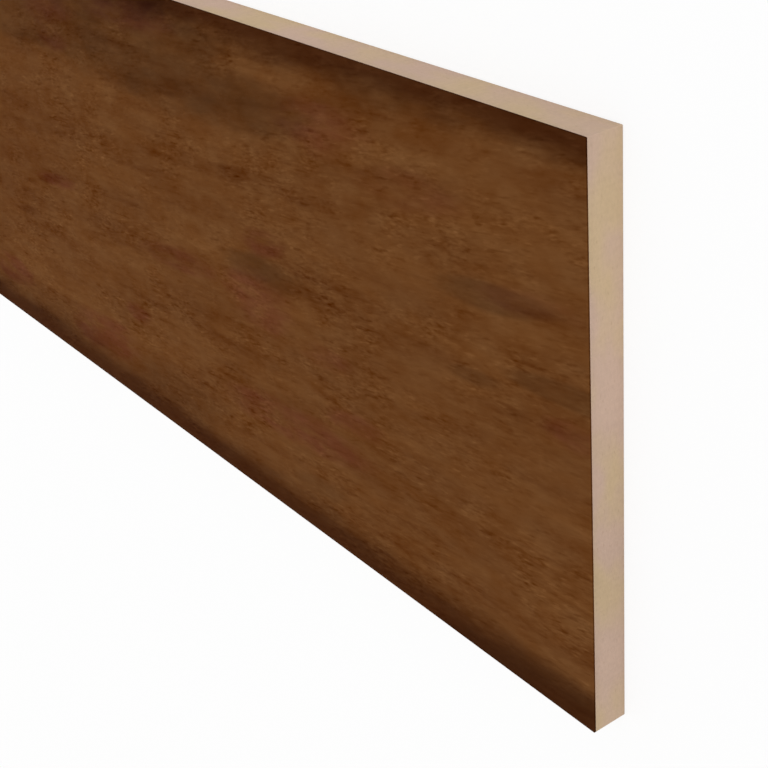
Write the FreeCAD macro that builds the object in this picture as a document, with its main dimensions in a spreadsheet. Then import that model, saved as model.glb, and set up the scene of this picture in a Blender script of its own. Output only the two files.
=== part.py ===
"""Stair riser board: a sawn fibreboard core with a wood-look laminate bonded to its front.

The board lies on its back with the wood-look face up. X runs along its length, Y runs
from the edge that stands on the lower tread to the edge under the upper tread, and Z
points out of the face. The origin is the middle of the back. Lengths are millimetres.
"""

import FreeCAD
import Part
import Sketcher
import os

SIZES = {
    # Outside of the finished board, as it is sold.
    "board_length": 1193.8,
    "board_height": 187.3,
    "board_thickness": 12.7,
    # The wood-look layer, measured out of the board's thickness.
    "laminate_thickness": 0.6,
    # Sanded-off sharpness: around the back, around the face and at the four upright corners.
    "back_arris": 0.4,
    "face_arris": 0.2,
    "corner_arris": 0.3,
}

CORE_THICKNESS = "sizes.board_thickness - sizes.laminate_thickness"

# How far an edge may lie from a level and still count as lying on it.
LEVEL_TOLERANCE = 1e-4


def add_size_sheet(doc):
    """Put the driving sizes in a spreadsheet whose cells carry their names."""
    sheet = doc.addObject("Spreadsheet::Sheet", "sizes")
    for row, (name, value) in enumerate(SIZES.items(), start=1):
        sheet.set(f"A{row}", name)
        sheet.set(f"B{row}", str(value))
        sheet.setAlias(f"B{row}", name)
    doc.recompute()


def origin_plane(body, role):
    """Return one of the body's own origin planes."""
    return next(plane for plane in body.Origin.OriginFeatures if plane.Role == role)


def add_section(body, name, thickness):
    """Draw a layer's rectangular cross-section, square to the length, up from the layer's underside."""
    sketch = body.newObject("Sketcher::SketchObject", name)
    sketch.AttachmentSupport = [(origin_plane(body, "YZ_Plane"), "")]
    sketch.MapMode = "FlatFace"

    corners = [FreeCAD.Vector(-1, 0, 0), FreeCAD.Vector(1, 0, 0),
               FreeCAD.Vector(1, 1, 0), FreeCAD.Vector(-1, 1, 0)]
    lower, right, upper, left = [
        sketch.addGeometry(Part.LineSegment(corner, next_corner))
        for corner, next_corner in zip(corners, corners[1:] + corners[:1])
    ]

    # A line's own points are numbered: its start is point 1 and its end is point 2.
    start, end = 1, 2
    for line, following in ((lower, right), (right, upper), (upper, left), (left, lower)):
        sketch.addConstraint(Sketcher.Constraint("Coincident", line, end, following, start))
    for line in (lower, upper):
        sketch.addConstraint(Sketcher.Constraint("Horizontal", line))
    for line in (right, left):
        sketch.addConstraint(Sketcher.Constraint("Vertical", line))

    # The underside lies along the sketch's horizontal axis, with its middle at the root point.
    root, root_point = -1, 1
    sketch.addConstraint(Sketcher.Constraint("Symmetric", lower, start, lower, end, root, root_point))
    bind_distance(sketch, "DistanceX", "height", (lower, start, lower, end), "sizes.board_height")
    bind_distance(sketch, "DistanceY", "thickness", (right, start, right, end), thickness)
    return sketch


def bind_distance(sketch, kind, name, ends, expression):
    """Add a named distance between two points of a sketch and tie it to the sheet."""
    initial_distance = 1.0
    index = sketch.addConstraint(Sketcher.Constraint(kind, *ends, initial_distance))
    sketch.renameConstraint(index, name)
    sketch.setExpression(f"Constraints.{name}", expression)


def add_length(body, name, section):
    """Run the section along the board's length, half of it each way."""
    pad = body.newObject("PartDesign::Pad", name)
    pad.Profile = section
    pad.SideType = "Symmetric"
    pad.setExpression("Length", "sizes.board_length")
    return pad


def upright_edges(shape):
    """Name the edges at the four corners, which run through the thickness."""
    return [f"Edge{index}" for index, edge in enumerate(shape.Edges, start=1)
            if edge.BoundBox.XLength < LEVEL_TOLERANCE and edge.BoundBox.YLength < LEVEL_TOLERANCE]


def edges_at_height(shape, height):
    """Name the edges that lie all along at one height over the board's back."""
    return [f"Edge{index}" for index, edge in enumerate(shape.Edges, start=1)
            if abs(edge.BoundBox.ZMin - height) < LEVEL_TOLERANCE
            and abs(edge.BoundBox.ZMax - height) < LEVEL_TOLERANCE]


def ease_edges(body, name, base, edges, size):
    """Sand a small flat along some edges of the layer."""
    chamfer = body.newObject("PartDesign::Chamfer", name)
    chamfer.Base = (base, edges)
    chamfer.setExpression("Size", size)
    return chamfer


def add_core(doc):
    """Build the bare fibreboard that gives the board its stiffness."""
    body = doc.addObject("PartDesign::Body", "core_body")
    body.Label = "mdf_core"
    section = add_section(body, "core_section", CORE_THICKNESS)
    blank = add_length(body, "core_blank", section)
    doc.recompute()
    cornered = ease_edges(body, "core_corners", blank, upright_edges(blank.Shape), "sizes.corner_arris")
    doc.recompute()
    back = edges_at_height(cornered.Shape, cornered.Shape.BoundBox.ZMin)
    ease_edges(body, "core_back_arris", cornered, back, "sizes.back_arris")
    return body


def add_laminate(doc):
    """Build the wood-look layer, flush with the core on all four sawn sides."""
    body = doc.addObject("PartDesign::Body", "laminate_body")
    body.Label = "face_laminate"
    body.setExpression(".Placement.Base.z", CORE_THICKNESS)
    section = add_section(body, "laminate_section", "sizes.laminate_thickness")
    blank = add_length(body, "laminate_blank", section)
    doc.recompute()
    cornered = ease_edges(body, "laminate_corners", blank, upright_edges(blank.Shape), "sizes.corner_arris")
    doc.recompute()
    face = edges_at_height(cornered.Shape, cornered.Shape.BoundBox.ZMax)
    ease_edges(body, "laminate_face_arris", cornered, face, "sizes.face_arris")
    return body


def check_document(doc, bodies):
    """Stop if any object failed to compute or a layer isn't one sound solid."""
    for item in doc.Objects:
        if "Invalid" in item.State or "Error" in item.State:
            raise RuntimeError(f"{item.Label} failed to compute: {item.State}")
    for body in bodies:
        if body.Shape.isNull() or not body.Shape.isValid() or len(body.Shape.Solids) != 1:
            raise RuntimeError(f"{body.Label} isn't one sound solid")


def write_steps(bodies):
    """Write each layer to a file that carries its name."""
    os.makedirs("parts", exist_ok=True)
    for body in bodies:
        body.Shape.exportStep(f"parts/{body.Label}.step")


def report_layers(bodies):
    """Print each layer's outside size and volume."""
    for body in bodies:
        box = body.Shape.BoundBox
        print(f"{body.Label}: {box.XLength:.1f} x {box.YLength:.1f} x {box.ZLength:.2f} mm, "
              f"from {box.ZMin:.2f} to {box.ZMax:.2f} mm up, {body.Shape.Volume:.0f} mm3")


def main():
    """Build the board, check it and write its layers."""
    doc = FreeCAD.newDocument("stair_riser_board")
    add_size_sheet(doc)
    bodies = [add_core(doc), add_laminate(doc)]
    doc.recompute()
    check_document(doc, bodies)
    write_steps(bodies)
    report_layers(bodies)


main()
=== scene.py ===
"""Stair riser board: a dark wood-look laminate bonded to a bare fibreboard core.

The board lies on its back on a pale floor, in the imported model's frame: X along its length,
Y up its height as fitted on the stair, Z out of the wood-look face. Lengths are metres.
"""

import logging
import math
from collections.abc import Iterable
from dataclasses import dataclass, field
from enum import Enum
from typing import ClassVar

import bpy
import numpy as np
from mathutils import Matrix, Vector


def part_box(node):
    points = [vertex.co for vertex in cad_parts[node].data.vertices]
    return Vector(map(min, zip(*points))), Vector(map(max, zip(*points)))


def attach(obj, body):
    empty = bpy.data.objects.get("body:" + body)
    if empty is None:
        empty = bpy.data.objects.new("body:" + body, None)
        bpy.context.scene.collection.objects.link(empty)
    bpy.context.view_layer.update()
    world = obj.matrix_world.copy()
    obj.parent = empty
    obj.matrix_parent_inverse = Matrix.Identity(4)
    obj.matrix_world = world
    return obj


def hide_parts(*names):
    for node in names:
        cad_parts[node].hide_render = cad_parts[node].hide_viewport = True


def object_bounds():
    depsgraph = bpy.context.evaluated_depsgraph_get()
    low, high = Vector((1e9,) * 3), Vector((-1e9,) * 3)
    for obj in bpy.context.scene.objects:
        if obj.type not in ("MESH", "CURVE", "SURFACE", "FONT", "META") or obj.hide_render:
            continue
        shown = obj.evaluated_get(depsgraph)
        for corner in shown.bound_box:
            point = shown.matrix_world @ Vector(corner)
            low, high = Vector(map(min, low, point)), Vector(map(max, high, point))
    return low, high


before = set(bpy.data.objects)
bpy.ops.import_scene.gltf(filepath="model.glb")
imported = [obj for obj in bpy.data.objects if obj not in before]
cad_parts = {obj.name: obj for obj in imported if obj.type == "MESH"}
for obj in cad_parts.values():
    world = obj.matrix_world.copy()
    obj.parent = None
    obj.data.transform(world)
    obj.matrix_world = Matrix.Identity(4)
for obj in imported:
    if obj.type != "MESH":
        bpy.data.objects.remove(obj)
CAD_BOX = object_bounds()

LOG = logging.getLogger("stair_riser_board")
ROOT_BODY = "root"
BAKE_MAP = "OFBake"
EASED_EDGE = "bevel_weight_edge"
WHITE = (1.0, 1.0, 1.0, 1.0)

Colour = tuple[float, float, float]
Triple = tuple[float, float, float]
Socket = bpy.types.NodeSocket


def screen_colour(red: int, green: int, blue: int) -> Colour:
    """Turn a colour as a screen shows it into linear light, by the screens' standard curve.

    Args:
        red: Red from 0 to 255.
        green: Green from 0 to 255.
        blue: Blue from 0 to 255.

    Returns:
        The same colour in linear light, each channel from 0 to 1.
    """
    shares = [value / 255 for value in (red, green, blue)]
    return tuple(s / 12.92 if s <= 0.04045 else ((s + 0.055) / 1.055) ** 2.4 for s in shares)


def empty_tree(holder: bpy.types.Material | bpy.types.World) -> bpy.types.NodeTree:
    """Turn on the nodes of a material or world, and clear them.

    Args:
        holder: The material or world.

    Returns:
        Its empty node tree.
    """
    holder.use_nodes = True
    holder.node_tree.nodes.clear()
    return holder.node_tree


def read_all(items: bpy.types.bpy_prop_collection, name: str, width: int, kind: type) -> np.ndarray:
    """Read one property of all vertices, corners or faces of a mesh.

    Args:
        items: The vertices, corners or faces.
        name: The property.
        width: How many numbers the property holds.
        kind: The type of those numbers.

    Returns:
        The numbers, one row for each item.
    """
    values = np.empty(len(items) * width, kind)
    items.foreach_get(name, values)
    return values.reshape(-1, width)


class NodeBench:
    """A node tree with short ways to add and join the nodes that the finishes and layers use."""

    def __init__(self, tree: bpy.types.NodeTree) -> None:
        """Start work on a tree."""
        self.tree = tree

    def add(self, kind: str, inputs: dict[str, object] | None = None,
            **settings: object) -> bpy.types.Node:
        """Add a node.

        Args:
            kind: Blender's name for the kind of node.
            inputs: Output sockets or constants, by the names of the inputs that they feed.
            **settings: Values for the node's own properties.

        Returns:
            The new node.
        """
        node = self.tree.nodes.new(kind)
        for name, value in settings.items():
            setattr(node, name, value)
        for name, value in (inputs or {}).items():
            self.feed(node.inputs[name], value)
        return node

    def feed(self, socket: Socket, value: object) -> None:
        """Join an output to a socket, or set the socket to a constant.

        Args:
            socket: The input to feed.
            value: An output socket, or the constant.
        """
        if isinstance(value, bpy.types.NodeSocket):
            self.tree.links.new(value, socket)
        else:
            socket.default_value = value

    def feed_in_order(self, node: bpy.types.Node, values: Iterable[object]) -> None:
        """Feed a node's first inputs, one after the other."""
        for socket, value in zip(node.inputs, values):
            self.feed(socket, value)

    def math(self, operation: str, *operands: object) -> Socket:
        """Work out a number.

        Args:
            operation: The Math node's operation.
            *operands: Sockets or numbers, in the node's order.

        Returns:
            The socket that holds the result.
        """
        node = self.add("ShaderNodeMath", operation=operation)
        self.feed_in_order(node, operands)
        return node.outputs["Value"]

    def vector(self, operation: str, *operands: object) -> Socket:
        """Work out a vector.

        Args:
            operation: The Vector Math node's operation.
            *operands: Sockets or triples, in the node's order.

        Returns:
            The socket that holds the result.
        """
        node = self.add("ShaderNodeVectorMath", operation=operation)
        self.feed_in_order(node, operands)
        return node.outputs["Vector"]

    def split(self, vector: Socket) -> tuple[Socket, Socket, Socket]:
        """Split a vector into its X, Y and Z."""
        node = self.add("ShaderNodeSeparateXYZ", {"Vector": vector})
        return node.outputs["X"], node.outputs["Y"], node.outputs["Z"]

    def combined(self, x: object = 0.0, y: object = 0.0, z: object = 0.0) -> Socket:
        """Make a vector out of three sockets or numbers."""
        return self.add("ShaderNodeCombineXYZ", {"X": x, "Y": y, "Z": z}).outputs["Vector"]

    def noise(self, where: Socket, detail: float = 2.0, roughness: float = 0.5) -> Socket:
        """Add soft random variation whose features are about one unit across.

        Args:
            where: The coordinates, measured in features.
            detail: How many finer layers are added.
            roughness: How strong the finer layers are.

        Returns:
            A socket that varies round one half.
        """
        node = self.add("ShaderNodeTexNoise", {
            "Vector": where, "Scale": 1.0, "Detail": detail, "Roughness": roughness})
        return node.outputs["Fac"]

    def fade(self, value: Socket, start: float, end: float) -> Socket:
        """Turn a number into a smooth step.

        Args:
            value: The number.
            start: Where the step is still nought.
            end: Where the step has reached one.

        Returns:
            The socket that holds the step.
        """
        node = self.add("ShaderNodeMapRange", {
            "Value": value, "From Min": start, "From Max": end}, interpolation_type="SMOOTHSTEP")
        return node.outputs["Result"]

    def add_share(self, total: object, amount: Socket, gain: float, middle: float = 0.0) -> Socket:
        """Add a share of one number to a running total.

        Args:
            total: The running total.
            amount: The number that is added.
            gain: How much of it is added.
            middle: The value of the number that leaves the total as it is.

        Returns:
            The new total.
        """
        start = self.math("ADD", total, -gain * middle) if middle else total
        return self.math("MULTIPLY_ADD", amount, gain, start)

    def tint(self, factor: object, first: object, second: object, way: str = "MIX") -> Socket:
        """Lay one colour over another.

        Args:
            factor: How much of the second colour is laid on.
            first: The colour underneath.
            second: The colour on top.
            way: How the two are combined.

        Returns:
            The socket that holds the colour.
        """
        node = self.add("ShaderNodeMix", data_type="RGBA", blend_type=way)
        named = {socket.identifier: socket for socket in node.inputs}
        for name, value in (("Factor_Float", factor), ("A_Color", first), ("B_Color", second)):
            opaque = (*value, 1.0) if isinstance(value, tuple) else value
            self.feed(named[name], opaque)
        return next(socket for socket in node.outputs if socket.identifier == "Result_Color")


class Surface(NodeBench):
    """The shader of one finish: a single glossy-over-matte surface, driven from Object coordinates."""

    def __init__(self, name: str) -> None:
        """Start a new material.

        Args:
            name: The material's name.
        """
        self.material = bpy.data.materials.new(name)
        super().__init__(empty_tree(self.material))
        self.shader = self.add("ShaderNodeBsdfPrincipled")
        self.add("ShaderNodeOutputMaterial", {"Surface": self.shader.outputs["BSDF"]})
        coordinates = self.add("ShaderNodeTexCoord").outputs
        self.place = coordinates["Object"]
        self.normal = coordinates["Normal"]

    def facing_up(self) -> Socket:
        """Tell how far the surface faces up: 1 on top, 0 on the sides and -1 underneath."""
        return self.split(self.normal)[2]

    def stretched(self, cell: Triple, turn: float, middle: Triple) -> Socket:
        """Measure places on the board in cells of one pattern.

        Args:
            cell: The size of one feature along, across and through the board.
            turn: How far the pattern's long way is turned from the board's length.
            middle: The place that becomes the pattern's origin.

        Returns:
            The socket that holds the coordinates.
        """
        node = self.add("ShaderNodeMapping", {
            "Vector": self.place, "Location": middle, "Rotation": (0.0, 0.0, turn), "Scale": cell,
        }, vector_type="TEXTURE")
        return node.outputs["Vector"]

    def nearness(self, middle: Triple, half: Triple, turn: float) -> Socket:
        """Tell how near a place is to the middle of a soft oval.

        Args:
            middle: The middle of the oval.
            half: Its size from the middle along, across and through the board.
            turn: How far its long way is turned from the board's length.

        Returns:
            A socket that falls evenly from one in the middle to nought at the oval's edge.
        """
        where = self.stretched(half, turn, middle)
        node = self.add("ShaderNodeTexGradient", {"Vector": where}, gradient_type="SPHERICAL")
        return node.outputs["Fac"]

    def dress(self, colour: Socket, roughness: Socket, specular: float) -> None:
        """Give the surface its colour and its sheen.

        Args:
            colour: The colour.
            roughness: How far the sheen is spread.
            specular: How strong the sheen is.
        """
        looks = {"Base Color": colour, "Roughness": roughness, "Specular IOR Level": specular}
        for name, value in looks.items():
            self.feed(self.shader.inputs[name], value)

    def emboss(self, height: Socket, depth: float, strength: float) -> None:
        """Give the surface fine relief.

        Args:
            height: The relief, from 0 to about 1.
            depth: The real depth of that relief.
            strength: How much of it shows.
        """
        node = self.add("ShaderNodeBump", {"Height": height, "Distance": depth, "Strength": strength})
        self.feed(self.shader.inputs["Normal"], node.outputs["Normal"])


class Tone(Enum):
    """What a mark of the wood figure does to the brown round it."""

    SMOKE = "smoky"
    RUST = "redder"
    DARK = "darker"
    PALE = "lighter"


@dataclass(frozen=True)
class FigureMark:
    """One soft mark of the wood figure, long along the grain.

    It is placed by its middle: the distance in from the board's right end and down from the
    top edge. Length and height are its half sizes, and its slope rises to the right. Softness is
    the share of those half sizes over which it fades out.
    """

    tone: Tone
    from_end: float
    below_top: float
    half_length: float
    half_height: float
    strength: float
    slope: float = math.radians(8.0)
    softness: float = 0.65


# The larger marks of the face, listed one by one.
FIGURE = (
    FigureMark(Tone.SMOKE, 0.333, 0.0207, 0.163, 0.0215, 0.57, math.radians(0.6), 0.38),
    FigureMark(Tone.SMOKE, 0.231, 0.0224, 0.076, 0.0205, 0.74, math.radians(1.2), 0.48),
    FigureMark(Tone.SMOKE, 0.258, 0.0060, 0.070, 0.0210, 1.00, math.radians(3.5)),
    FigureMark(Tone.SMOKE, 0.180, 0.0288, 0.062, 0.0125, 0.76, math.radians(1.7), 0.55),
    FigureMark(Tone.PALE, 0.140, 0.0128, 0.040, 0.0040, 0.9, math.radians(3.0)),
    FigureMark(Tone.SMOKE, 0.091, 0.0084, 0.025, 0.0080, 0.18),
    FigureMark(Tone.DARK, 0.338, 0.1005, 0.017, 0.0025, 0.85, math.radians(11.5)),
    FigureMark(Tone.DARK, 0.369, 0.1228, 0.016, 0.0026, 0.90, math.radians(10.5)),
    FigureMark(Tone.DARK, 0.291, 0.1137, 0.022, 0.0028, 0.55),
    FigureMark(Tone.DARK, 0.331, 0.0371, 0.016, 0.0026, 0.70, math.radians(3.5)),
    FigureMark(Tone.DARK, 0.175, 0.0559, 0.014, 0.0044, 0.50),
    FigureMark(Tone.SMOKE, 0.163, 0.0874, 0.031, 0.0072, 0.70, math.radians(5.8), 0.8),
    FigureMark(Tone.DARK, 0.121, 0.0859, 0.045, 0.0036, 0.45, math.radians(3.5), 0.8),
    FigureMark(Tone.DARK, 0.341, 0.0767, 0.047, 0.0032, 0.40, math.radians(7.0), 0.8),
    FigureMark(Tone.SMOKE, 0.0385, 0.0559, 0.029, 0.0052, 0.55, math.radians(7.0), 0.45),
    FigureMark(Tone.SMOKE, 0.0103, 0.0752, 0.029, 0.0044, 0.52, math.radians(5.8), 0.45),
    FigureMark(Tone.SMOKE, 0.0484, 0.0844, 0.014, 0.0034, 0.50),
    FigureMark(Tone.DARK, 0.0234, 0.0884, 0.028, 0.0032, 0.55),
    FigureMark(Tone.SMOKE, 0.242, 0.1678, 0.050, 0.0110, 0.36, math.radians(2.2)),
    FigureMark(Tone.SMOKE, 0.367, 0.1710, 0.076, 0.0120, 0.28, math.radians(2.2)),
    FigureMark(Tone.SMOKE, 0.025, 0.1820, 0.060, 0.0090, 0.45),
    FigureMark(Tone.RUST, 0.307, 0.0197, 0.029, 0.0080, 0.65),
    FigureMark(Tone.RUST, 0.307, 0.0328, 0.016, 0.0060, 0.5),
    FigureMark(Tone.RUST, 0.117, 0.0254, 0.031, 0.0100, 0.6),
    FigureMark(Tone.RUST, 0.161, 0.0770, 0.016, 0.0060, 0.9),
    FigureMark(Tone.RUST, 0.170, 0.1025, 0.025, 0.0140, 0.7),
    FigureMark(Tone.RUST, 0.129, 0.1086, 0.018, 0.0055, 0.5),
    FigureMark(Tone.RUST, 0.154, 0.1459, 0.055, 0.0085, 0.8, math.radians(4.5)),
    FigureMark(Tone.RUST, 0.116, 0.1290, 0.018, 0.0055, 0.6),
    FigureMark(Tone.RUST, 0.270, 0.1410, 0.014, 0.0050, 0.9),
    FigureMark(Tone.RUST, 0.228, 0.1035, 0.032, 0.0060, 0.6),
    FigureMark(Tone.RUST, 0.077, 0.0350, 0.030, 0.0080, 0.3),
    FigureMark(Tone.RUST, 0.240, 0.0100, 0.040, 0.0090, 0.9, math.radians(3.0)),
    FigureMark(Tone.DARK, 0.228, 0.1035, 0.030, 0.0055, 0.45),
    FigureMark(Tone.DARK, 0.077, 0.0340, 0.030, 0.0080, 0.50),
    FigureMark(Tone.DARK, 0.077, 0.0855, 0.030, 0.0060, 0.45),
    FigureMark(Tone.DARK, 0.0125, 0.0695, 0.022, 0.0090, 0.35),
    FigureMark(Tone.DARK, 0.270, 0.1395, 0.013, 0.0050, 0.35),
    FigureMark(Tone.DARK, 0.194, 0.1395, 0.016, 0.0055, 0.50),
    FigureMark(Tone.DARK, 0.158, 0.0755, 0.016, 0.0050, 0.50),
    FigureMark(Tone.RUST, 0.332, 0.0990, 0.022, 0.0040, 0.8),
    FigureMark(Tone.SMOKE, 0.142, 0.1660, 0.020, 0.0060, 0.35),
    FigureMark(Tone.PALE, 0.078, 0.1035, 0.026, 0.0060, 0.9),
    FigureMark(Tone.PALE, 0.297, 0.1305, 0.016, 0.0060, 0.8),
    FigureMark(Tone.PALE, 0.016, 0.1530, 0.022, 0.0100, 0.9),
    FigureMark(Tone.PALE, 0.036, 0.1350, 0.026, 0.0085, 0.8),
    FigureMark(Tone.PALE, 0.142, 0.0440, 0.018, 0.0090, 0.7),
    FigureMark(Tone.PALE, 0.245, 0.1485, 0.042, 0.0062, 1.3),
    FigureMark(Tone.PALE, 0.180, 0.1575, 0.030, 0.0062, 1.0),
    FigureMark(Tone.PALE, 0.220, 0.1660, 0.016, 0.0055, 0.9),
    FigureMark(Tone.PALE, 0.193, 0.1215, 0.016, 0.0055, 1.0),
    FigureMark(Tone.PALE, 0.090, 0.1255, 0.018, 0.0080, 0.9),
    FigureMark(Tone.PALE, 0.142, 0.0945, 0.015, 0.0055, 0.9),
    FigureMark(Tone.PALE, 0.190, 0.0495, 0.038, 0.0055, 0.8),
    FigureMark(Tone.PALE, 0.026, 0.0495, 0.022, 0.0055, 0.9),
    FigureMark(Tone.PALE, 0.228, 0.0310, 0.015, 0.0055, 1.0),
    FigureMark(Tone.RUST, 0.309, 0.1657, 0.036, 0.0110, 1.0),
    FigureMark(Tone.RUST, 0.404, 0.1640, 0.024, 0.0090, 1.0),
    FigureMark(Tone.RUST, 0.0239, 0.0530, 0.026, 0.0050, 0.3),
    FigureMark(Tone.RUST, 0.0070, 0.0864, 0.016, 0.0060, 0.6),
    FigureMark(Tone.PALE, 0.382, 0.1490, 0.036, 0.0110, 1.0),
    FigureMark(Tone.PALE, 0.328, 0.1417, 0.075, 0.0200, 0.35, math.radians(3.4)),
    FigureMark(Tone.PALE, 0.307, 0.0188, 0.029, 0.0080, 0.7),
    FigureMark(Tone.PALE, 0.170, 0.1025, 0.025, 0.0140, 0.5),
    FigureMark(Tone.PALE, 0.331, 0.1157, 0.018, 0.0070, 0.4),
    FigureMark(Tone.PALE, 0.114, 0.0684, 0.053, 0.0090, 0.7, math.radians(4.6)),
    FigureMark(Tone.PALE, 0.0423, 0.0308, 0.051, 0.0200, 0.4),
    FigureMark(Tone.PALE, 0.116, 0.1290, 0.019, 0.0060, 1.0),
)


@dataclass(frozen=True)
class Grain:
    """One random layer of a finish.

    It is known by the size of its features along, across and (as depth) through the board, how
    far it rises to the right, how much it lightens or darkens the finish, and its seed: how many
    features it is slid each way, which picks one pattern out of many.
    """

    # The value of the pattern that leaves the finish as it is.
    MIDDLE: ClassVar[float] = 0.5

    length: float
    width: float
    slope: float
    gain: float
    seed: float
    detail: float = 2.0
    roughness: float = 0.5
    depth: float = field(default=1.0, kw_only=True)

    def pattern(self, surface: Surface) -> Socket:
        """Lay the layer on the board.

        Args:
            surface: The material being built.

        Returns:
            A socket that varies round one half.
        """
        cell = (self.length, self.width, self.depth)
        slide = Matrix.Rotation(self.slope, 3, "Z") @ (Vector(cell) * -self.seed)
        where = surface.stretched(cell, self.slope, tuple(slide))
        return surface.noise(where, self.detail, self.roughness)

    def added(self, surface: Surface, total: object, pattern: Socket) -> Socket:
        """Add what the layer lightens and darkens to a running total."""
        return surface.add_share(total, pattern, self.gain, self.MIDDLE)


@dataclass(frozen=True)
class Peaks(Grain):
    """A layer that shows only where it peaks, as separate dashes or patches along the grain."""

    MIDDLE: ClassVar[float] = 0.0

    starts: float = 0.60
    full: float = 0.74

    def pattern(self, surface: Surface) -> Socket:
        """Lay the layer on the board, from nought between the peaks to one on them."""
        return surface.fade(super().pattern(surface), self.starts, self.full)


@dataclass(frozen=True)
class WoodLook:
    """The laminate's finish: a stained brown wood figure, burnished dark along the two long edges.

    The grain adds or takes away a greyer brown, so that pale fibres are duller and dark ones are
    richer than the wood round them. Smoke, rust and burnt edges are stains, which filter the wood.
    """

    # The browns of the wood, and the greyer browns that the broad and the fine grain add.
    warm_brown: Colour = screen_colour(101, 61, 28)
    olive_brown: Colour = screen_colour(99, 62, 32)
    broad_tint: Colour = screen_colour(88, 65, 38)
    fine_tint: Colour = screen_colour(88, 65, 40)

    # Where in the blotches the brown starts to turn olive, and where it is all olive.
    olive_starts: float = 0.2
    olive_full: float = 0.8

    # What each stain lets through of red, green and blue.
    smoke: Colour = (0.60, 0.605, 0.65)
    rust: Colour = (0.92, 0.75, 0.95)
    edge_shade: Colour = (0.66, 0.68, 0.72)
    burnt: Colour = (0.64, 0.49, 0.43)
    sawn: Colour = (0.62, 0.58, 0.52)

    # The broad grain.
    cloud: Grain = Grain(0.130, 0.045, math.radians(3.5), 0.20, 3.1)
    streak: Grain = Grain(0.070, 0.0100, math.radians(3.5), 0.80, 7.4, 3.0, 0.55)
    vein: Peaks = Peaks(0.082, 0.0060, math.radians(4.6), -0.26, 61.7, 3.0, 0.55, 0.53, 0.78)
    blotch: Grain = Grain(0.0172, 0.0088, math.radians(8.0), 0.60, 13.3, 2.0, 0.6)

    # The fine grain: crinkles show in clusters, and all of it shows more in patches.
    fibre: Grain = Grain(0.0072, 0.0022, math.radians(10.5), 0.88, 11.9, 2.0, 0.6)
    dark_dash: Peaks = Peaks(0.0070, 0.0016, math.radians(11.5), -0.25, 17.3, 1.0)
    pale_dash: Peaks = Peaks(0.0060, 0.0014, math.radians(12.5), 0.27, 53.9, 1.0, 0.5, 0.60, 0.76)
    pore: Peaks = Peaks(0.0200, 0.0016, math.radians(6.5), -0.15, 47.2, 1.0, 0.5, 0.62, 0.75)
    crinkle: Grain = Grain(0.0030, 0.0010, math.radians(9.0), 1.02, 83.1, 1.0)
    cluster: Peaks = Peaks(0.016, 0.010, math.radians(8.0), 1.0, 37.9, 2.0, 0.5, 0.43, 0.63)
    patch: Peaks = Peaks(0.034, 0.020, math.radians(7.0), 0.58, 29.6, 2.0, 0.5, 0.38, 0.64)

    # What breaks up the stains, makes the marks ragged and the border uneven, and adds smoky bands.
    mottle: Grain = Grain(0.026, 0.0080, math.radians(6.0), 1.5, 71.9, 3.0, 0.6)
    drift: Grain = Grain(0.034, 0.010, math.radians(7.0), 1.5, 23.7, 3.0, 0.65)
    border: Grain = Grain(0.046, 0.012, math.radians(5.0), 0.014, 41.5, 4.0, 0.65)
    bands: Peaks = Peaks(0.260, 0.030, math.radians(3.5), 0.65, 31.2, 2.0, 0.5, 0.50, 0.70)

    # How much of the fine grain shows between the patches, whose gain adds the rest, and how much
    # of it smoke hides.
    quiet_grain: float = 0.42
    smoke_hush: float = -0.30

    # How much the marks lighten and darken, and how far the mottle breaks up the rusty ones.
    pale_lift: float = 0.17
    dark_depth: float = -0.36
    rust_break: float = 5.0

    # How far out a mark ends and how far its nearness is worked out, both in its half sizes, and
    # its size through the board, which is as good as endless.
    mark_end: float = 1.1
    mark_reach: float = 2.0
    mark_depth: float = 1000.0

    # Where the marks stop, in from the right end, and the way over which the smoky bands take over.
    figure_end: float = 0.40
    figure_fade: float = 0.07

    # How far in the burnt edges reach, and at what shares of that they start and are full.
    upper_burn: float = 0.0140
    lower_burn: float = 0.0200
    shade_starts: float = 1.0
    shade_full: float = 0.25
    burn_starts: float = 0.85
    burn_full: float = 0.125

    # How far the surface still faces up where the sawn rim starts, and where it is all sawn.
    sawn_starts: float = 0.85
    sawn_full: float = 0.4

    # The relief, and what fibres and dashes give to it.
    relief: float = 0.00006
    relief_shown: float = 0.6
    fibre_relief: float = 0.6
    dash_relief: float = -0.4

    # The sheen, and how much the streaks change it.
    specular: float = 0.003
    roughness: float = 0.6
    streak_roughness: float = 0.16

    def material(self, low: Vector, high: Vector) -> bpy.types.Material:
        """Build the finish for a face that reaches from one corner to the other.

        Args:
            low: The layer's lowest corner.
            high: The layer's highest corner.

        Returns:
            The finished material.
        """
        surface = Surface("wood_look_laminate")
        along, across, _ = surface.split(surface.place)
        marks = self.figure(surface, high)
        fibre = self.fibre.pattern(surface)
        dark_dash = self.dark_dash.pattern(surface)
        grain, blotch, streak = self.soft_grain(surface)
        smoky, rusty = self.stains(surface, marks, self.smoke_beyond(surface, along, high))
        fine = self.fine_grain(surface, fibre, dark_dash, smoky)
        grain = surface.add_share(grain, marks[Tone.PALE], self.pale_lift)
        grain = surface.add_share(grain, marks[Tone.DARK], self.dark_depth)

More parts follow.
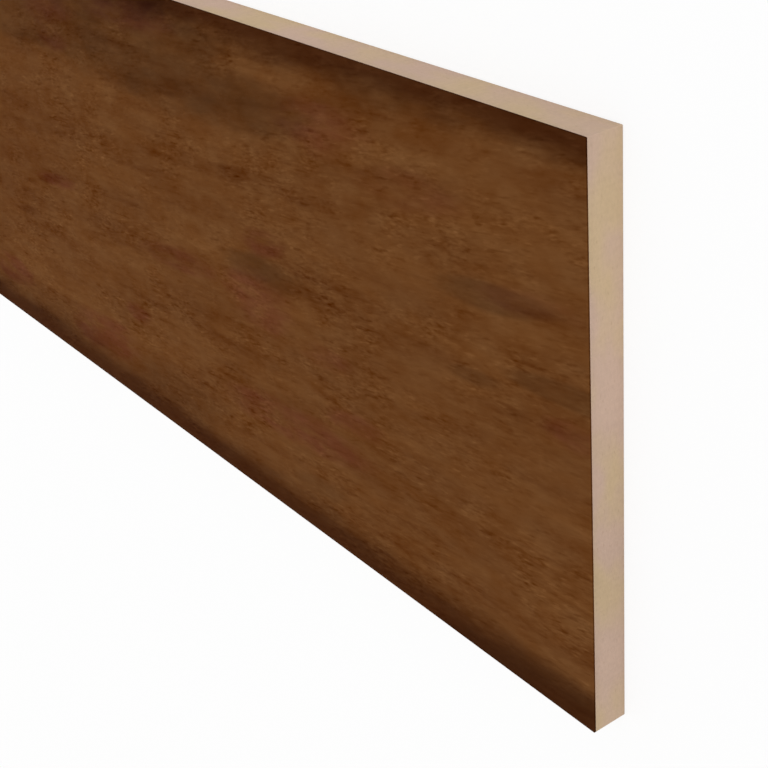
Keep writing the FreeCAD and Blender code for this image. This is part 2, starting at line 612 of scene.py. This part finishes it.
        olive = surface.fade(blotch, self.olive_starts, self.olive_full)
        face = surface.tint(olive, self.warm_brown, self.olive_brown)
        for amount, tint in ((grain, self.broad_tint), (fine, self.fine_tint)):
            face = surface.tint(1.0, face, surface.tint(1.0, tint, amount, "MULTIPLY"), "ADD")
        shaded, burnt = self.edge_burn(surface, across, low, high)
        side = surface.fade(surface.facing_up(), self.sawn_starts, self.sawn_full)
        filters = ((smoky, self.smoke), (rusty, self.rust), (shaded, self.edge_shade),
                   (burnt, self.burnt), (side, self.sawn))
        for share, colour in filters:
            face = surface.tint(share, face, colour, "MULTIPLY")

        roughness = surface.add_share(self.roughness, streak, self.streak_roughness, self.streak.MIDDLE)
        surface.dress(face, roughness, self.specular)
        height = surface.math("MULTIPLY", fibre, self.fibre_relief)
        height = surface.add_share(height, dark_dash, self.dash_relief)
        surface.emboss(height, self.relief, self.relief_shown)
        return surface.material

    def soft_grain(self, surface: Surface) -> tuple[Socket, Socket, Socket]:
        """Add up the broad, soft layers of the grain.

        Args:
            surface: The material being built.

        Returns:
            How much the wood is lighter or darker, then the blotches and the streaks by themselves.
        """
        blotch = self.blotch.pattern(surface)
        streak = self.streak.pattern(surface)
        grain = self.cloud.added(surface, 0.0, self.cloud.pattern(surface))
        grain = self.streak.added(surface, grain, streak)
        grain = self.vein.added(surface, grain, self.vein.pattern(surface))
        return self.blotch.added(surface, grain, blotch), blotch, streak

    def stains(self, surface: Surface, marks: dict[Tone, Socket],
               beyond: Socket) -> tuple[Socket, Socket]:
        """Break up the smoky and the rusty stains.

        Args:
            surface: The material being built.
            marks: How strongly each tone of the marks shows.
            beyond: How smoky the wood is where no marks are placed.

        Returns:
            How smoky and how rusty the wood is.
        """
        smoky = surface.math("MAXIMUM", marks[Tone.SMOKE], beyond)
        mottle = self.mottle.pattern(surface)
        smoky = surface.math("MULTIPLY", smoky, self.mottle.added(surface, 1.0, mottle))
        broken = surface.add_share(1.0, mottle, self.rust_break, self.mottle.MIDDLE)
        return smoky, surface.math("MULTIPLY", marks[Tone.RUST], broken)

    def fine_grain(self, surface: Surface, fibre: Socket, dark_dash: Socket, smoky: Socket) -> Socket:
        """Add up the fine layers of the grain.

        Args:
            surface: The material being built.
            fibre: The fibres.
            dark_dash: The dark dashes.
            smoky: How smoky the wood is.

        Returns:
            How much the wood is lighter or darker.
        """
        showing = self.patch.added(surface, self.quiet_grain, self.patch.pattern(surface))
        showing = surface.math("MULTIPLY", showing, surface.add_share(1.0, smoky, self.smoke_hush))
        fine = self.fibre.added(surface, 0.0, fibre)
        fine = self.dark_dash.added(surface, fine, dark_dash)
        for layer in (self.pale_dash, self.pore):
            fine = layer.added(surface, fine, layer.pattern(surface))
        crinkle = self.crinkle.added(surface, 0.0, self.crinkle.pattern(surface))
        clusters = self.cluster.added(surface, 0.0, self.cluster.pattern(surface))
        fine = surface.math("MULTIPLY_ADD", crinkle, clusters, fine)
        return surface.math("MULTIPLY", fine, showing)

    def figure(self, surface: Surface, high: Vector) -> dict[Tone, Socket]:
        """Lay the listed marks, with ragged outlines as stain leaves them.

        Args:
            surface: The material being built.
            high: The layer's highest corner.

        Returns:
            How strongly each tone shows.
        """
        ragged = self.drift.added(surface, 0.0, self.drift.pattern(surface))
        shown: dict[Tone, object] = dict.fromkeys(Tone, 0.0)
        reach = self.mark_reach
        end = 1.0 - self.mark_end / reach
        for mark in FIGURE:
            middle = (high.x - mark.from_end, high.y - mark.below_top, 0.0)
            half = (reach * mark.half_length, reach * mark.half_height, self.mark_depth)
            blur = mark.softness / reach
            near = surface.nearness(middle, half, mark.slope)
            near = surface.math("MULTIPLY_ADD", ragged, -blur, near)
            spot = surface.math("MULTIPLY", surface.fade(near, end, end + blur), mark.strength)
            shown[mark.tone] = surface.math("MAXIMUM", shown[mark.tone], spot)
        return shown

    def smoke_beyond(self, surface: Surface, along: Socket, high: Vector) -> Socket:
        """Carry smoky bands on by chance, left of the listed marks.

        Args:
            surface: The material being built.
            along: The place along the board.
            high: The layer's highest corner.

        Returns:
            How smoky the bands are.
        """
        start = high.x - self.figure_end
        left = surface.fade(along, start, start - self.figure_fade)
        smoky = surface.math("MULTIPLY", self.bands.pattern(surface), self.bands.gain)
        return surface.math("MULTIPLY", smoky, left)

    def edge_burn(self, surface: Surface, across: Socket, low: Vector,
                  high: Vector) -> tuple[Socket, Socket]:
        """Darken the two long edges, each to its own depth, with an uneven border.

        The border is first shaded grey, and closer to the edge it is burnt brown.

        Args:
            surface: The material being built.
            across: The place across the board.
            low: The layer's lowest corner.
            high: The layer's highest corner.

        Returns:
            How shaded and how burnt the face is, each from 0 to 1.
        """
        uneven = self.border.added(surface, 0.0, self.border.pattern(surface))
        from_top = surface.math("SUBTRACT", surface.math("SUBTRACT", high.y, across), uneven)
        from_bottom = surface.math("ADD", surface.math("SUBTRACT", across, low.y), uneven)
        upper = surface.math("DIVIDE", from_top, self.upper_burn)
        lower = surface.math("DIVIDE", from_bottom, self.lower_burn)
        inwards = surface.math("MINIMUM", upper, lower)
        shaded = surface.fade(inwards, self.shade_starts, self.shade_full)
        return shaded, surface.fade(inwards, self.burn_starts, self.burn_full)


@dataclass(frozen=True)
class BareFibreboard:
    """The core's finish: sawn fibreboard on the edges and ends, sanded fibreboard on the back."""

    # The two tans of the sawn sides, the sanded back and the specks.
    yellow_tan: Colour = screen_colour(192, 167, 134)
    pink_tan: Colour = screen_colour(187, 160, 142)
    sanded: Colour = screen_colour(178, 150, 121)
    speck: Colour = screen_colour(142, 112, 84)

    # What lightens and darkens the tan.
    fleck: Grain = Grain(0.0014, 0.0014, 0.0, 0.20, 2.3, 3.0, 0.6, depth=0.0007)
    specks: Peaks = Peaks(0.0022, 0.0022, 0.0, 0.20, 5.9, 1.0, 0.5, 0.66, 0.78, depth=0.0006)
    mottle: Grain = Grain(0.028, 0.028, 0.0, 0.22, 8.8, depth=0.014)
    drift: Grain = Grain(0.16, 0.16, 0.0, 0.45, 33.8, depth=0.08)
    saw: Grain = Grain(0.0010, 0.0010, 0.0, 0.08, 13.7, depth=0.05)
    sanding: Grain = Grain(0.20, 0.0016, 0.0, 0.08, 19.1)

    # Where in the mottle the tan starts to turn pink, and where it is all pink.
    pink_starts: float = 0.35
    pink_full: float = 0.65

    # How far the surface faces up where the sanded back starts, and where it is all sanded.
    back_starts: float = -0.5
    back_full: float = -0.8

    # The denser skin: how far out of the middle it starts, in half thicknesses, and its shade.
    skin_starts: float = 0.55
    skin_shade: float = -0.04

    # The relief of the flecks, and what the saw gives to it.
    relief: float = 0.00008
    relief_shown: float = 0.5
    saw_relief: float = 0.5

    # The sheen, and how much the flecks change it.
    specular: float = 0.2
    roughness: float = 0.85
    fleck_roughness: float = 0.10

    def material(self, low: Vector, high: Vector) -> bpy.types.Material:
        """Build the finish for a core that reaches from one corner to the other.

        Args:
            low: The core's lowest corner.
            high: The core's highest corner.

        Returns:
            The finished material.
        """
        surface = Surface("bare_fibreboard")
        through = surface.split(surface.place)[2]
        back = surface.fade(surface.facing_up(), self.back_starts, self.back_full)
        fleck = self.fleck.pattern(surface)
        specks = self.specks.pattern(surface)
        mottle = self.mottle.pattern(surface)
        drift = self.drift.pattern(surface)
        saw = self.saw.pattern(surface)
        sanding = self.sanding.pattern(surface)

        middle, half = (low.z + high.z) / 2, (high.z - low.z) / 2
        depth = surface.math("ABSOLUTE", surface.math("SUBTRACT", through, middle))
        skin = surface.fade(depth, self.skin_starts * half, half)
        light = self.fleck.added(surface, 1.0, fleck)
        light = self.mottle.added(surface, light, mottle)
        light = self.drift.added(surface, light, drift)
        light = self.saw.added(surface, light, saw)
        light = surface.add_share(light, skin, self.skin_shade)
        light = surface.add_share(light, surface.math("MULTIPLY", sanding, back), self.sanding.gain)

        pink = surface.fade(mottle, self.pink_starts, self.pink_full)
        tan = surface.tint(pink, self.yellow_tan, self.pink_tan)
        body = surface.tint(back, tan, self.sanded)
        speckled = surface.tint(surface.math("MULTIPLY", specks, self.specks.gain), body, self.speck)
        roughness = surface.add_share(self.roughness, fleck, self.fleck_roughness, self.fleck.MIDDLE)
        surface.dress(surface.tint(1.0, speckled, light, "MULTIPLY"), roughness, self.specular)
        surface.emboss(surface.add_share(fleck, saw, self.saw_relief), self.relief, self.relief_shown)
        return surface.material


class LayerTree(NodeBench):
    """Geometry nodes that make one layer of the board by rule.

    A layer has one open side with fine relief, four sawn sides and one glued side. It is made
    with the glued side down at nought, and is then turned over where the open side is the back.
    """

    SIZES = ("Length", "Height", "Thickness", "Relief Depth", "Relief Margin", "Grain Length",
             "Grain Width", "Grain Slope", "Rim Easing", "Corner Easing", "Turn Over", "Lift", "Seed")
    COUNTS = ("Cells Along", "Cells Across")

    # Where in the random variation the hollows start, and where they are deepest.
    HOLLOW_STARTS, HOLLOW_FULL = 0.35, 0.70

    # The shares of the margin between which the relief comes in from the rim.
    MARGIN_STARTS, MARGIN_FULL = 0.5, 1.0

    # An edge that turns further than this is an arris. Where its middle is higher than these shares
    # of the thickness, it is clear of the glue line, or up at the rim.
    ARRIS_ANGLE = math.radians(45.0)
    OVER_GLUE_LINE, AT_RIM = 0.25, 0.75

    # Points closer than this are one point.
    MERGE_DISTANCE = 0.000002

    def __init__(self, name: str) -> None:
        """Build the tree.

        Args:
            name: The tree's name.
        """
        super().__init__(bpy.data.node_groups.new(name, "GeometryNodeTree"))
        self.tree.is_modifier = True
        for size in self.SIZES:
            self.tree.interface.new_socket(size, in_out="INPUT", socket_type="NodeSocketFloat")
        for count in self.COUNTS:
            self.tree.interface.new_socket(count, in_out="INPUT", socket_type="NodeSocketInt")
        self.tree.interface.new_socket("Finish", in_out="INPUT", socket_type="NodeSocketMaterial")
        self.tree.interface.new_socket("Layer", in_out="OUTPUT", socket_type="NodeSocketGeometry")
        self.inputs = self.add("NodeGroupInput").outputs
        self.position = self.add("GeometryNodeInputPosition").outputs["Position"]
        self.finish_layer(self.ease(self.close(self.wall(self.open_side()))))

    def open_side(self) -> Socket:
        """Make the open side as a fine grid, with relief pressed in along the grain.

        Returns:
            The grid, up at the layer's thickness.
        """
        grid = self.add("GeometryNodeMeshGrid", {
            "Size X": self.inputs["Length"],
            "Size Y": self.inputs["Height"],
            "Vertices X": self.math("ADD", self.inputs["Cells Along"], 1.0),
            "Vertices Y": self.math("ADD", self.inputs["Cells Across"], 1.0),
        })
        pressed = self.math("MULTIPLY", self.relief(), self.inputs["Relief Depth"])
        height = self.math("SUBTRACT", self.inputs["Thickness"], pressed)
        place = self.add("GeometryNodeSetPosition", {
            "Geometry": grid.outputs["Mesh"], "Offset": self.combined(z=height)})
        return place.outputs["Geometry"]

    def relief(self) -> Socket:
        """Work out how deep each place is pressed: long hollows that stop short of the rim.

        Returns:
            The depth, from 0 to 1.
        """
        slope = self.math("MULTIPLY", self.inputs["Grain Slope"], -1.0)
        turned = self.add("ShaderNodeVectorRotate", {
            "Vector": self.position, "Angle": slope}, rotation_type="Z_AXIS")
        cell = self.combined(self.inputs["Grain Length"], self.inputs["Grain Width"], 1.0)
        measured = self.vector("DIVIDE", turned.outputs["Vector"], cell)
        hollows = self.noise(self.vector("ADD", measured, self.inputs["Seed"]))
        hollows = self.fade(hollows, self.HOLLOW_STARTS, self.HOLLOW_FULL)
        along, across, _ = self.split(self.position)
        to_end = self.math("MULTIPLY_ADD", self.inputs["Length"], 0.5, self.negative_size(along))
        to_edge = self.math("MULTIPLY_ADD", self.inputs["Height"], 0.5, self.negative_size(across))
        to_rim = self.math("DIVIDE", self.math("MINIMUM", to_end, to_edge), self.inputs["Relief Margin"])
        return self.math("MULTIPLY", hollows, self.fade(to_rim, self.MARGIN_STARTS, self.MARGIN_FULL))

    def negative_size(self, value: Socket) -> Socket:
        """Return minus the size of a number."""
        return self.math("MULTIPLY", self.math("ABSOLUTE", value), -1.0)

    def border(self) -> Socket:
        """Pick the edges that have a face on one side only."""
        faces = self.add("GeometryNodeInputMeshEdgeNeighbors").outputs["Face Count"]
        return self.math("LESS_THAN", faces, 2.0)

    def wall(self, sheet: Socket) -> Socket:
        """Run the four sawn sides down from the open side's border.

        Args:
            sheet: The open side.

        Returns:
            The open side with its walls.
        """
        down = self.combined(z=self.math("MULTIPLY", self.inputs["Thickness"], -1.0))
        node = self.add("GeometryNodeExtrudeMesh", {
            "Mesh": sheet, "Selection": self.border(), "Offset": down, "Offset Scale": 1.0,
        }, mode="EDGES")
        return node.outputs["Mesh"]

    def close(self, walls: Socket) -> Socket:
        """Close the glued side with one flat face that shares the walls' points.

        Args:
            walls: The open side with its walls.

        Returns:
            The closed layer.
        """
        loop = self.add("GeometryNodeMeshToCurve", {"Mesh": walls, "Selection": self.border()})
        filled = self.add("GeometryNodeFillCurve", {"Curve": loop.outputs["Curve"]}, mode="NGONS")
        flipped = self.add("GeometryNodeFlipFaces", {"Mesh": filled.outputs["Mesh"]})
        joined = self.add("GeometryNodeJoinGeometry")
        for part in (walls, flipped.outputs["Mesh"]):
            self.feed(joined.inputs["Geometry"], part)
        merged = self.add("GeometryNodeMergeByDistance", {
            "Geometry": joined.outputs["Geometry"], "Distance": self.MERGE_DISTANCE})
        return merged.outputs["Geometry"]

    def ease(self, blank: Socket) -> Socket:
        """Note how far each arris is eased: the open side's rim and the corners, not the glue line.

        Args:
            blank: The closed layer.

        Returns:
            The layer, with the easing of its edges.
        """
        angle = self.add("GeometryNodeInputMeshEdgeAngle").outputs["Unsigned Angle"]
        level = self.math("DIVIDE", self.split(self.position)[2], self.inputs["Thickness"])
        sharp = self.math("GREATER_THAN", angle, self.ARRIS_ANGLE)
        over_glue_line = self.math("GREATER_THAN", level, self.OVER_GLUE_LINE)
        at_rim = self.math("GREATER_THAN", level, self.AT_RIM)
        rim = self.math("MULTIPLY", at_rim, sharp)
        corner = self.math("SUBTRACT", self.math("MULTIPLY", over_glue_line, sharp), rim)
        easing = self.math("MULTIPLY", rim, self.inputs["Rim Easing"])
        easing = self.math("MULTIPLY_ADD", corner, self.inputs["Corner Easing"], easing)
        node = self.add("GeometryNodeStoreNamedAttribute", {
            "Geometry": blank, "Name": EASED_EDGE, "Value": easing}, data_type="FLOAT", domain="EDGE")
        return node.outputs["Geometry"]

    def finish_layer(self, blank: Socket) -> None:
        """Turn and lift the layer to its place on the board, and give it its finish.

        Args:
            blank: The closed layer.
        """
        placed = self.add("GeometryNodeTransform", {
            "Geometry": blank,
            "Translation": self.combined(z=self.inputs["Lift"]),
            "Rotation": self.combined(x=self.inputs["Turn Over"]),
        })
        realized = self.add("GeometryNodeRealizeInstances", {"Geometry": placed.outputs["Geometry"]})
        finished = self.add("GeometryNodeSetMaterial", {
            "Geometry": realized.outputs["Geometry"], "Material": self.inputs["Finish"]})
        self.add("NodeGroupOutput", {"Layer": finished.outputs["Geometry"]})


class Side(Enum):
    """The six sides of a layer: the axis that its outward normal follows, and which way."""

    LEFT_END = (0, -1)
    RIGHT_END = (0, 1)
    LOWER_EDGE = (1, -1)
    UPPER_EDGE = (1, 1)
    UNDERSIDE = (2, -1)
    TOP = (2, 1)


@dataclass
class BoardLayer:
    """One bonded layer of the board, made to the box of the CAD node that it stands for."""

    piece: str
    node: str
    slot: str
    finish: WoodLook | BareFibreboard
    tree: LayerTree
    bake_rows: dict[Side, tuple[float, float]]
    open_side_up: bool
    cells_along: int
    cells_across: int
    rim_arris: float
    corner_arris: float
    relief_depth: float
    grain_length: float
    grain_width: float
    grain_slope: float
    seed: float
    relief_margin: float = 0.004
    arris_steps: int = 3
    sharp_from: float = math.radians(12.0)

    def build(self) -> bpy.types.Object:
        """Make the layer's mesh, dress it and set it in the frame.

        Returns:
            The finished piece.
        """
        low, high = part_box(self.node)
        mesh = self.shape(low, high, self.finish.material(low, high))
        self.lay_bake_map(mesh)
        piece = bpy.data.objects.new(self.piece, mesh)
        bpy.context.scene.collection.objects.link(piece)
        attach(piece, ROOT_BODY)
        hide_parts(self.node)
        mesh.calc_loop_triangles()
        LOG.info("%s stands for %s: %d triangles", self.piece, self.node, len(mesh.loop_triangles))
        return piece

    def shape(self, low: Vector, high: Vector, finish: bpy.types.Material) -> bpy.types.Mesh:
        """Run the layer's nodes, round its eased arrises and keep the plain mesh.

        Args:
            low: The layer's lowest corner.
            high: The layer's highest corner.
            finish: The material of the whole layer.

        Returns:
            The mesh, in place in the frame.
        """
        size = high - low
        arris = max(self.rim_arris, self.corner_arris)
        values = {
            "Length": size.x, "Height": size.y, "Thickness": size.z,
            "Relief Depth": self.relief_depth, "Relief Margin": self.relief_margin,
            "Grain Length": self.grain_length, "Grain Width": self.grain_width,
            "Grain Slope": self.grain_slope, "Seed": self.seed,
            "Rim Easing": self.rim_arris / arris, "Corner Easing": self.corner_arris / arris,
            "Turn Over": 0.0 if self.open_side_up else math.pi,
            "Lift": low.z if self.open_side_up else high.z,
            "Cells Along": self.cells_along, "Cells Across": self.cells_across, "Finish": finish,
        }
        maker = bpy.data.objects.new(f"{self.piece}_blank", bpy.data.meshes.new(f"{self.piece}_blank"))
        bpy.context.scene.collection.objects.link(maker)
        rule = maker.modifiers.new("layer", "NODES")
        rule.node_group = self.tree.tree
        for item in rule.node_group.interface.items_tree:
            if item.in_out == "INPUT":
                rule[item.identifier] = values[item.name]
        rounding = maker.modifiers.new("arris", "BEVEL")
        rounding.limit_method = "WEIGHT"
        rounding.width = arris
        rounding.segments = self.arris_steps

        depsgraph = bpy.context.evaluated_depsgraph_get()
        mesh = bpy.data.meshes.new_from_object(
            maker.evaluated_get(depsgraph), preserve_all_data_layers=True, depsgraph=depsgraph)
        mesh.name = self.piece
        blank = maker.data
        bpy.data.objects.remove(maker)
        bpy.data.meshes.remove(blank)
        mesh.shade_smooth()
        mesh.set_sharp_from_angle(angle=self.sharp_from)
        return mesh

    def lay_bake_map(self, mesh: bpy.types.Mesh) -> None:
        """Lay the six sides out in rows, one above the other, for the exported colours.

        Args:
            mesh: The layer's mesh, which gets the map.
        """
        points = read_all(mesh.vertices, "co", 3, np.float32)
        share = (points - points.min(0)) / np.ptp(points, axis=0)
        corners = read_all(mesh.loops, "vertex_index", 1, np.int32).ravel()
        counts = read_all(mesh.polygons, "loop_total", 1, np.int32).ravel()
        normals = np.repeat(read_all(mesh.polygons, "normal", 3, np.float32), counts, axis=0)
        main_axis = np.abs(normals).argmax(1)
        at = share[corners]
        flat = np.empty((len(corners), 2), np.float32)
        for side, (bottom, top) in self.bake_rows.items():
            axis, way = side.value
            chosen = (main_axis == axis) & (normals[:, axis] * way > 0)
            first, second = [other for other in range(3) if other != axis]
            flat[chosen, 0] = at[chosen, first]
            flat[chosen, 1] = bottom + at[chosen, second] * (top - bottom)
        layer = mesh.uv_layers.new(name=BAKE_MAP)
        layer.uv.foreach_set("vector", flat.ravel())


@dataclass(frozen=True)
class SoftSun:
    """One broad, even studio light: the way to it, how bright it is and how wide it looks."""

    name: str
    towards: Triple
    strength: float
    spread: float

    def hang(self) -> bpy.types.Object:
        """Add the light to the scene.

        Returns:
            The light.
        """
        lamp = bpy.data.lights.new(self.name, "SUN")
        lamp.energy = self.strength
        lamp.angle = self.spread
        hung = bpy.data.objects.new(self.name, lamp)
        hung.location = self.towards
        hung.rotation_mode = "QUATERNION"
        hung.rotation_quaternion = Vector(self.towards).to_track_quat("Z", "Y")
        bpy.context.scene.collection.objects.link(hung)
        return hung


@dataclass(frozen=True)
class Viewpoint:
    """Where the picture is taken from, measured on the board's right end, lower edge and floor."""

    past_end: float = 0.2562
    over_lower_edge: float = 0.3147
    over_floor: float = 0.2507
    aim_from_end: float = 0.0952
    aim_over_lower_edge: float = 0.0819
    roll: float = math.radians(5.13)
    lens_mm: float = 71.18
    sensor_mm: float = 36.0
    nearest: float = 0.01

    def set_up(self, low: Vector, high: Vector) -> bpy.types.Object:
        """Add the camera and make it the scene's own.

        Args:
            low: The board's lowest corner.
            high: The board's highest corner.

        Returns:
            The camera.
        """
        place = Vector((high.x + self.past_end, low.y + self.over_lower_edge, low.z + self.over_floor))
        aim = Vector((high.x - self.aim_from_end, low.y + self.aim_over_lower_edge, high.z))
        forward = (aim - place).normalized()
        right = forward.cross(Vector((0.0, 1.0, 0.0))).normalized()
        level = Matrix((right, right.cross(forward), -forward)).transposed()
        lens = bpy.data.cameras.new("viewpoint")
        lens.lens = self.lens_mm
        lens.sensor_width = self.sensor_mm
        lens.clip_start = self.nearest
        camera = bpy.data.objects.new("viewpoint", lens)
        rolled = level @ Matrix.Rotation(-self.roll, 3, "Z")
        camera.matrix_world = Matrix.LocRotScale(place, rolled, None)
        bpy.context.scene.collection.objects.link(camera)
        bpy.context.scene.camera = camera
        return camera


@dataclass
class Studio:
    """The plain pale room: floor, even light and the camera."""

    viewpoint: Viewpoint
    lamps: tuple[SoftSun, ...]
    floor_reach: float = 40.0
    floor_gap: float = 0.0001
    floor_pale: Colour = (0.93, 0.93, 0.93)
    floor_glow: float = 0.8

    # How bright the dome is overhead and at the horizon, and the heights between which it dims.
    dome_light: float = 0.5
    horizon_light: float = 1.0
    dimming_starts: float = 0.16
    dimming_full: float = 0.40

    def set_up(self) -> None:
        """Build the room round the board."""
        bpy.context.scene.view_settings.view_transform = "Standard"
        self.lay_floor()
        self.light_dome()
        for lamp in self.lamps:
            lamp.hang()
        self.viewpoint.set_up(*CAD_BOX)
        LOG.info("studio: %d lamps", len(self.lamps))

    def lay_floor(self) -> bpy.types.Object:
        """Lay a pale floor under the board, clear of its back by a hair so that no faces coincide.

        Returns:
            The floor.
        """
        reach, level = self.floor_reach, CAD_BOX[0].z - self.floor_gap
        outline = ((-reach, -reach), (reach, -reach), (reach, reach), (-reach, reach))
        mesh = bpy.data.meshes.new("floor")
        mesh.from_pydata([(x, y, level) for x, y in outline], [], [(0, 1, 2, 3)])
        mesh.materials.append(self.floor_finish())
        floor = bpy.data.objects.new("floor", mesh)
        bpy.context.scene.collection.objects.link(floor)
        return floor

    def floor_finish(self) -> bpy.types.Material:
        """Make the floor near white where it is looked at, and still darker in the board's shadow.

        Returns:
            The floor's material.
        """
        material = bpy.data.materials.new("pale_floor")
        bench = NodeBench(empty_tree(material))
        matte = bench.add("ShaderNodeBsdfDiffuse", {"Color": (*self.floor_pale, 1.0)})
        glow = bench.add("ShaderNodeEmission")
        rays = bench.add("ShaderNodeLightPath").outputs
        looked_at = bench.math("MAXIMUM", rays["Is Camera Ray"], rays["Is Glossy Ray"])
        looked_at = bench.math("MAXIMUM", looked_at, rays["Is Transmission Ray"])
        share = bench.math("MULTIPLY", looked_at, self.floor_glow)
        both = bench.add("ShaderNodeMixShader")
        bench.feed_in_order(both, (share, matte.outputs["BSDF"], glow.outputs["Emission"]))
        bench.add("ShaderNodeOutputMaterial", {"Surface": both.outputs["Shader"]})
        return material

    def light_dome(self) -> None:
        """Light the room evenly from all round, white at the horizon and dimmer overhead."""
        world = bpy.data.worlds.new("studio_dome")
        bench = NodeBench(empty_tree(world))
        direction = bench.add("ShaderNodeTexCoord").outputs["Generated"]
        overhead = bench.fade(bench.split(direction)[2], self.dimming_starts, self.dimming_full)
        dimming = self.dome_light - self.horizon_light
        strength = bench.math("MULTIPLY_ADD", overhead, dimming, self.horizon_light)
        sky = bench.add("ShaderNodeBackground", {"Color": WHITE, "Strength": strength})
        bench.add("ShaderNodeOutputWorld", {"Surface": sky.outputs["Background"]})
        bpy.context.scene.world = world


# The rows of the bake map's height that the sides of each layer get.
FACE_ROWS = {
    Side.TOP: (0.10, 1.0),
    Side.UPPER_EDGE: (0.075, 0.09),
    Side.LOWER_EDGE: (0.055, 0.07),
    Side.RIGHT_END: (0.035, 0.05),
    Side.LEFT_END: (0.015, 0.03),
    Side.UNDERSIDE: (0.0, 0.01),
}
CORE_ROWS = {
    Side.UNDERSIDE: (0.50, 1.0),
    Side.UPPER_EDGE: (0.36, 0.48),
    Side.LOWER_EDGE: (0.22, 0.34),
    Side.RIGHT_END: (0.12, 0.20),
    Side.LEFT_END: (0.02, 0.10),
    Side.TOP: (0.0, 0.01),
}

LAMPS = (
    SoftSun("key", (1.13, 0.79, 2.0), 1.44, math.radians(50.0)),
    SoftSun("fill", (-1.1, -1.1, 1.9), 0.38, math.radians(70.0)),
)


def main() -> None:
    """Build the core, the face and the studio, in that order."""
    logging.basicConfig(level=logging.INFO, format="%(name)s: %(message)s")
    LOG.info("frame holds %s", ", ".join(sorted(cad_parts)))
    tree = LayerTree("board_layer")
    wood_look = WoodLook()
    layers = (
        BoardLayer(
            piece="fibreboard_core", node="mdf_core", slot="bare_fibreboard", finish=BareFibreboard(),
            tree=tree, bake_rows=CORE_ROWS, open_side_up=False, cells_along=240, cells_across=40,
            rim_arris=0.0004, corner_arris=0.0003, relief_depth=0.00002, grain_length=0.012,
            grain_width=0.09, grain_slope=0.0, seed=4.0),
        BoardLayer(
            piece="wood_look_face", node="face_laminate", slot="wood_look_laminate", finish=wood_look,
            tree=tree, bake_rows=FACE_ROWS, open_side_up=True, cells_along=540, cells_across=156,
            rim_arris=0.0002, corner_arris=0.0003, relief_depth=0.00008, grain_length=0.028,
            grain_width=0.004, grain_slope=wood_look.fibre.slope, seed=9.0),
    )
    for layer in layers:
        layer.build()
    Studio(Viewpoint(), LAMPS).set_up()


if __name__ == "__main__":
    main()
